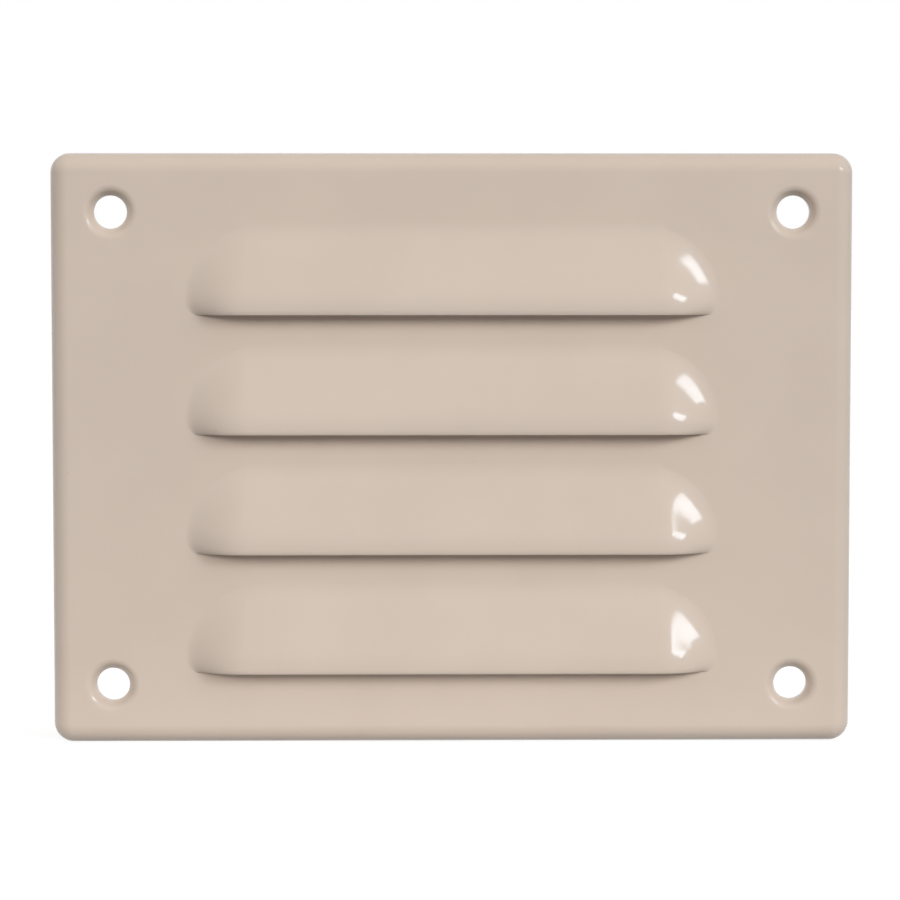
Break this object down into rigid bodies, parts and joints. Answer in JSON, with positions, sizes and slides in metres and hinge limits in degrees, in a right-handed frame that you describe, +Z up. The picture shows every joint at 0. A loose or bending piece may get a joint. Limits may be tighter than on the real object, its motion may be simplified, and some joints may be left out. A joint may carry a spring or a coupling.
{
  "type": "ventilation grille",
  "caption": "Rectangular louvred wall vent pressed from one painted metal sheet, with rounded rim and dimpled corner screw holes.",
  "frame": {"origin": "centre of the rectangle of screw holes, on the wall plane that the rim rests on", "axes": "+X across the plate, +Z up, -Y out of the wall towards the room; louvres open downwards"},
  "size_m": [0.15, 0.0084, 0.1106],
  "materials": {
    "beige_paint": "gloss"
  },
  "bodies": {
    "root": {"grille_plate": "beige_paint"}
  },
  "joints": []
}
